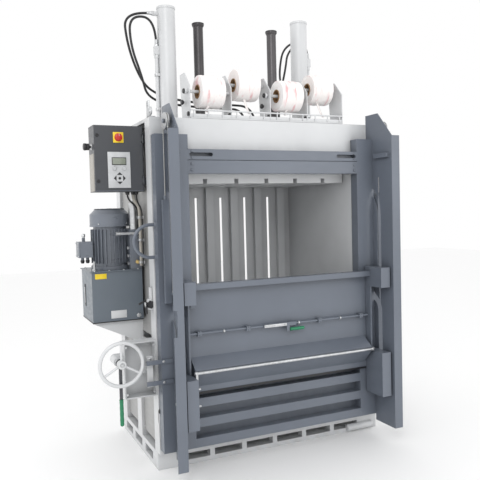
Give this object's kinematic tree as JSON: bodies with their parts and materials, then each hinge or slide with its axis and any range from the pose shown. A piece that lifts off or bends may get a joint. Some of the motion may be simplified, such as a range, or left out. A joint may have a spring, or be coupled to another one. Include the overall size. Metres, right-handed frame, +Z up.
{
  "type": "vertical recycling baler",
  "caption": "Upright hydraulic baler with a swinging bale door, a counterweighted loading door, a side power pack and strapping reels on top.",
  "frame": {"origin": "on the floor, under the middle of the front sill", "axes": "+Z up, +X to the machine's right, the doors face -Y"},
  "size_m": [2.015, 1.168, 2.944],
  "materials": {
    "white_paint": "semi-gloss powder coat",
    "light_grey_paint": "satin powder coat",
    "dark_grey_paint": "satin powder coat",
    "charcoal_paint": "satin powder coat",
    "motor_grey_paint": "satin enamel",
    "hose_rubber": "matt rubber",
    "strapping_tape": "woven polyester tape",
    "green_grip": "moulded grip",
    "red_plastic": "moulded",
    "panel_plastic": "moulded",
    "black_plastic": "moulded",
    "dark_steel": "blackened steel",
    "chromed_rod": "hard chrome",
    "zinc_steel": "zinc plated",
    "steel_rope": "wire rope"
  },
  "bodies": {
    "machine": {"base_frame": "white_paint", "side_wall_left": "white_paint", "side_wall_right": "white_paint", "side_panels": "light_grey_paint", "back_wall": "white_paint", "crosshead": "white_paint", "cylinder_left": "white_paint", "cylinder_right": "white_paint", "guide_bushes": "dark_steel", "reel_rack": "white_paint", "cabinet_box": "charcoal_paint", "oil_tank": "charcoal_paint", "motor": "motor_grey_paint", "terminal_box": "motor_grey_paint", "valve_block": "motor_grey_paint", "oil_fittings": "zinc_steel", "lock_bracket": "white_paint", "hose_left_lower": "hose_rubber", "hose_left_upper": "hose_rubber", "hose_right_lower": "hose_rubber", "hose_right_upper": "hose_rubber"},
    "bale_door": {"stile_left": "dark_grey_paint", "stile_right": "dark_grey_paint", "beam_lower": "dark_grey_paint", "beam_upper": "dark_grey_paint", "door_panel": "dark_grey_paint", "guard_left": "dark_grey_paint", "guard_right": "dark_grey_paint", "rope_bends": "steel_rope", "door_ropes": "steel_rope", "weight_ropes": "steel_rope", "door_fittings": "dark_grey_paint"},
    "loading_door": {"loading_panel": "dark_grey_paint", "guide_shoes_left": "dark_grey_paint", "guide_shoes_right": "dark_grey_paint", "cross_rod": "zinc_steel"},
    "counterweights": {"weights": "dark_grey_paint"},
    "pulley_left_wheel": {"pulley_left": "zinc_steel"},
    "pulley_right_wheel": {"pulley_right": "zinc_steel"},
    "latch": {"latch_rod": "dark_grey_paint", "latch_grip": "green_grip"},
    "press": {"platen": "white_paint", "piston_rods": "chromed_rod", "guide_rods": "dark_steel"},
    "cabinet_lid": {"cabinet_door": "charcoal_paint", "key_panel": "panel_plastic"},
    "stop_button": {"stop_knob": "black_plastic"},
    "switch_dial": {"main_switch": "red_plastic"},
    "left_key": {"key_left": "panel_plastic"},
    "right_key": {"key_right": "panel_plastic"},
    "arrow_keys": {"arrow_pad": "panel_plastic"},
    "valve_handle": {"valve_lever": "zinc_steel"},
    "lock_wheel": {"handwheel": "white_paint"},
    "clamp_bar": {"lock_clamp": "white_paint"},
    "release_lever": {"lock_lever": "charcoal_paint", "lever_grip": "green_grip"},
    "strap_reel_1": {"reel_1": "strapping_tape"},
    "strap_reel_2": {"reel_2": "strapping_tape"},
    "strap_reel_3": {"reel_3": "strapping_tape"},
    "strap_reel_4": {"reel_4": "strapping_tape"}
  },
  "joints": [
    {"name": "bale_door_swing", "type": "hinge", "parent": "machine", "child": "bale_door", "pos_m": [0.826, -0.115, 1.08], "axis": [0, 0, 1], "range_deg": [0, 110]},
    {"name": "door_lift", "type": "slide", "parent": "bale_door", "child": "loading_door", "axis": [0, 0, 1], "range_m": [0, 0.65], "deforming": ["door_ropes"]},
    {"name": "weights_travel", "type": "slide", "parent": "bale_door", "child": "counterweights", "axis": [0, 0, 1], "range_m": [-0.65, 0], "deforming": ["weight_ropes"]},
    {"name": "pulley_left_turn", "type": "hinge", "parent": "bale_door", "child": "pulley_left_wheel", "pos_m": [-0.754, -0.22, 2.085], "axis": [1, 0, 0], "range_deg": [-828, 0]},
    {"name": "pulley_right_turn", "type": "hinge", "parent": "bale_door", "child": "pulley_right_wheel", "pos_m": [0.754, -0.22, 2.085], "axis": [1, 0, 0], "range_deg": [-828, 0]},
    {"name": "latch_turn", "type": "hinge", "parent": "loading_door", "child": "latch", "pos_m": [0, -0.188, 0.843], "axis": [1, 0, 0], "range_deg": [-70, 0]},
    {"name": "platen_press", "type": "slide", "parent": "machine", "child": "press", "axis": [0, 0, -1], "range_m": [0, 0.58]},
    {"name": "reel_1_turn", "type": "hinge", "parent": "machine", "child": "strap_reel_1", "pos_m": [-0.408, -0.035, 2.298], "axis": [1, 0, 0], "continuous": true},
    {"name": "reel_2_turn", "type": "hinge", "parent": "machine", "child": "strap_reel_2", "pos_m": [-0.136, 0.035, 2.366], "axis": [1, 0, 0], "continuous": true},
    {"name": "reel_3_turn", "type": "hinge", "parent": "machine", "child": "strap_reel_3", "pos_m": [0.136, -0.035, 2.298], "axis": [1, 0, 0], "continuous": true},
    {"name": "reel_4_turn", "type": "hinge", "parent": "machine", "child": "strap_reel_4", "pos_m": [0.408, 0.035, 2.366], "axis": [1, 0, 0], "continuous": true},
    {"name": "cabinet_door_swing", "type": "hinge", "parent": "machine", "child": "cabinet_lid", "pos_m": [-0.812, 0.052, 1.894], "axis": [0, 0, 1], "range_deg": [0, 75]},
    {"name": "stop_press", "type": "slide", "parent": "machine", "child": "stop_button", "axis": [1, 0, 0], "range_m": [0, 0.006], "stiffness_N_per_m": 400},
    {"name": "main_switch_turn", "type": "hinge", "parent": "cabinet_lid", "child": "switch_dial", "pos_m": [-0.961, 0.053, 2.019], "axis": [0, 1, 0], "range_deg": [0, 90]},
    {"name": "key_left_press", "type": "slide", "parent": "cabinet_lid", "child": "left_key", "axis": [0, 1, 0], "range_m": [0, 0.001], "stiffness_N_per_m": 300},
    {"name": "key_right_press", "type": "slide", "parent": "cabinet_lid", "child": "right_key", "axis": [0, 1, 0], "range_m": [0, 0.001], "stiffness_N_per_m": 300},
    {"name": "arrow_pad_press", "type": "slide", "parent": "cabinet_lid", "child": "arrow_keys", "axis": [0, 1, 0], "range_m": [0, 0.001], "stiffness_N_per_m": 300},
    {"name": "valve_lever_turn", "type": "hinge", "parent": "machine", "child": "valve_handle", "pos_m": [-0.84, 0.195, 1.442], "axis": [0, 1, 0], "range_deg": [-30, 30]},
    {"name": "handwheel_turn", "type": "hinge", "parent": "machine", "child": "lock_wheel", "pos_m": [-1.035, -0.075, 0.706], "axis": [0, 1, 0], "range_deg": [-1080, 0]},
    {"name": "clamp_slide", "type": "slide", "parent": "machine", "child": "clamp_bar", "axis": [0, 1, 0], "range_m": [-0.018, 0]},
    {"name": "release_lever_swing", "type": "hinge", "parent": "machine", "child": "release_lever", "pos_m": [-1.035, -0.11, 0.706], "axis": [0, 1, 0], "range_deg": [0, 80]}
  ],
  "couplings": [
    {"joint": "weights_travel", "follows": "door_lift", "ratio": -1},
    {"joint": "pulley_left_turn", "follows": "door_lift", "rad_per_m": -22.222},
    {"joint": "pulley_right_turn", "follows": "door_lift", "rad_per_m": -22.222},
    {"joint": "clamp_slide", "follows": "handwheel_turn", "m_per_rad": 0.00095493}
  ]
}
